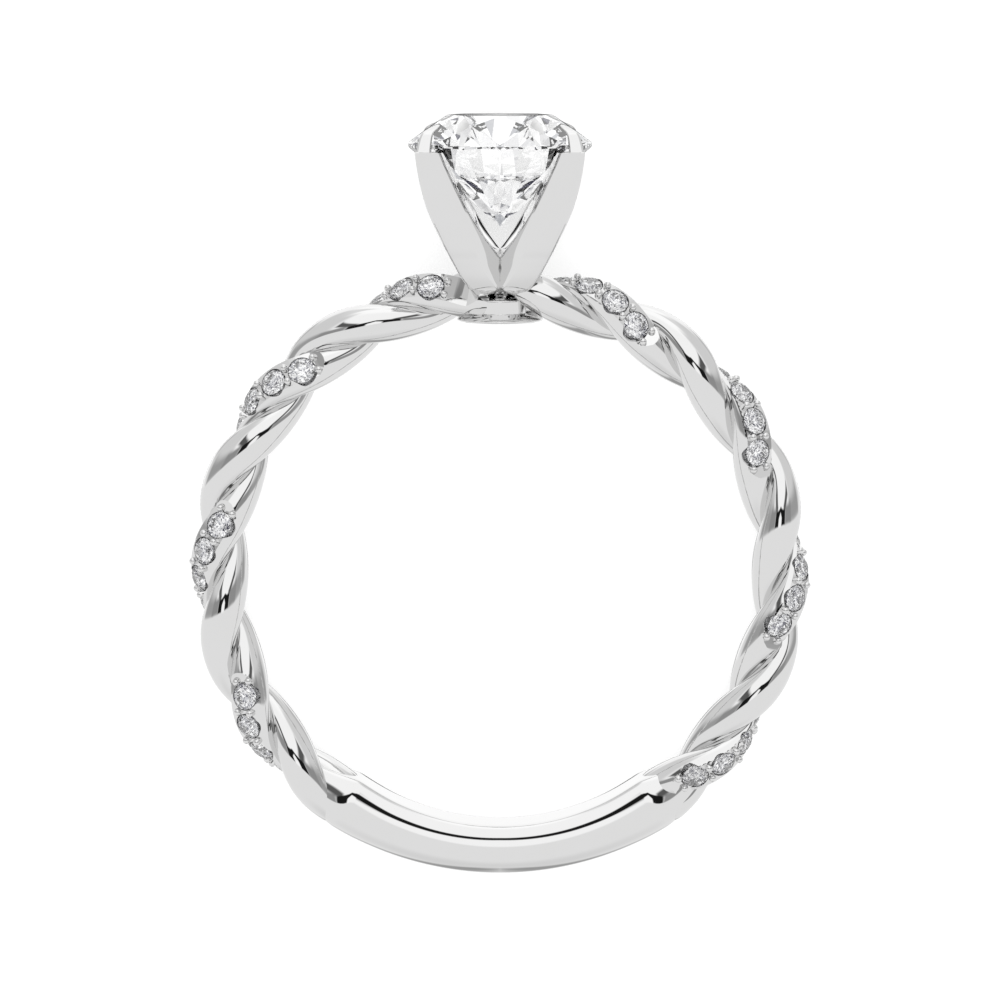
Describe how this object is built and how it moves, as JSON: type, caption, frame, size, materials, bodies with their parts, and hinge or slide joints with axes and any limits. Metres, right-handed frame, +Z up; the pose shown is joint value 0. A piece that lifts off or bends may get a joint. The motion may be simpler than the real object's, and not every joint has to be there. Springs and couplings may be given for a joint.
{
  "type": "twisted shank ring",
  "caption": "Finger ring with a two-strand twisted shank, small stones along one strand, a plain lower band and one round stone in a four-prong head.",
  "frame": {"origin": "centre of the finger hole", "axes": "+Y towards the head and the centre stone, +Z up from the surface that the ring lies on, leaning about 5 degrees off the finger's axis, +X across the ring"},
  "size_m": [0.022, 0.0272, 0.0064],
  "materials": {
    "white_gold": "mirror-polished white gold with rhodium plating",
    "centre_diamond": "clear, cut as a round brilliant",
    "accent_diamond": "clear, small round cut"
  },
  "bodies": {
    "root": {"ring_mount": "white_gold", "centre_stone": "centre_diamond", "accent_stone_01": "accent_diamond", "accent_stone_02": "accent_diamond", "accent_stone_03": "accent_diamond", "accent_stone_04": "accent_diamond", "accent_stone_05": "accent_diamond", "accent_stone_06": "accent_diamond", "accent_stone_07": "accent_diamond", "accent_stone_08": "accent_diamond", "accent_stone_09": "accent_diamond", "accent_stone_10": "accent_diamond", "accent_stone_11": "accent_diamond", "accent_stone_12": "accent_diamond", "accent_stone_13": "accent_diamond", "accent_stone_14": "accent_diamond", "accent_stone_15": "accent_diamond", "accent_stone_16": "accent_diamond", "accent_stone_17": "accent_diamond", "accent_stone_18": "accent_diamond", "accent_stone_19": "accent_diamond", "accent_stone_20": "accent_diamond", "accent_stone_21": "accent_diamond", "accent_stone_22": "accent_diamond", "accent_stone_23": "accent_diamond", "accent_stone_24": "accent_diamond", "accent_stone_25": "accent_diamond", "accent_stone_26": "accent_diamond", "accent_stone_27": "accent_diamond", "accent_stone_28": "accent_diamond", "accent_stone_29": "accent_diamond", "accent_stone_30": "accent_diamond", "accent_stone_31": "accent_diamond", "accent_stone_32": "accent_diamond", "accent_stone_33": "accent_diamond", "accent_stone_34": "accent_diamond", "accent_stone_35": "accent_diamond", "accent_stone_36": "accent_diamond", "accent_stone_37": "accent_diamond", "accent_stone_38": "accent_diamond"}
  },
  "joints": []
}
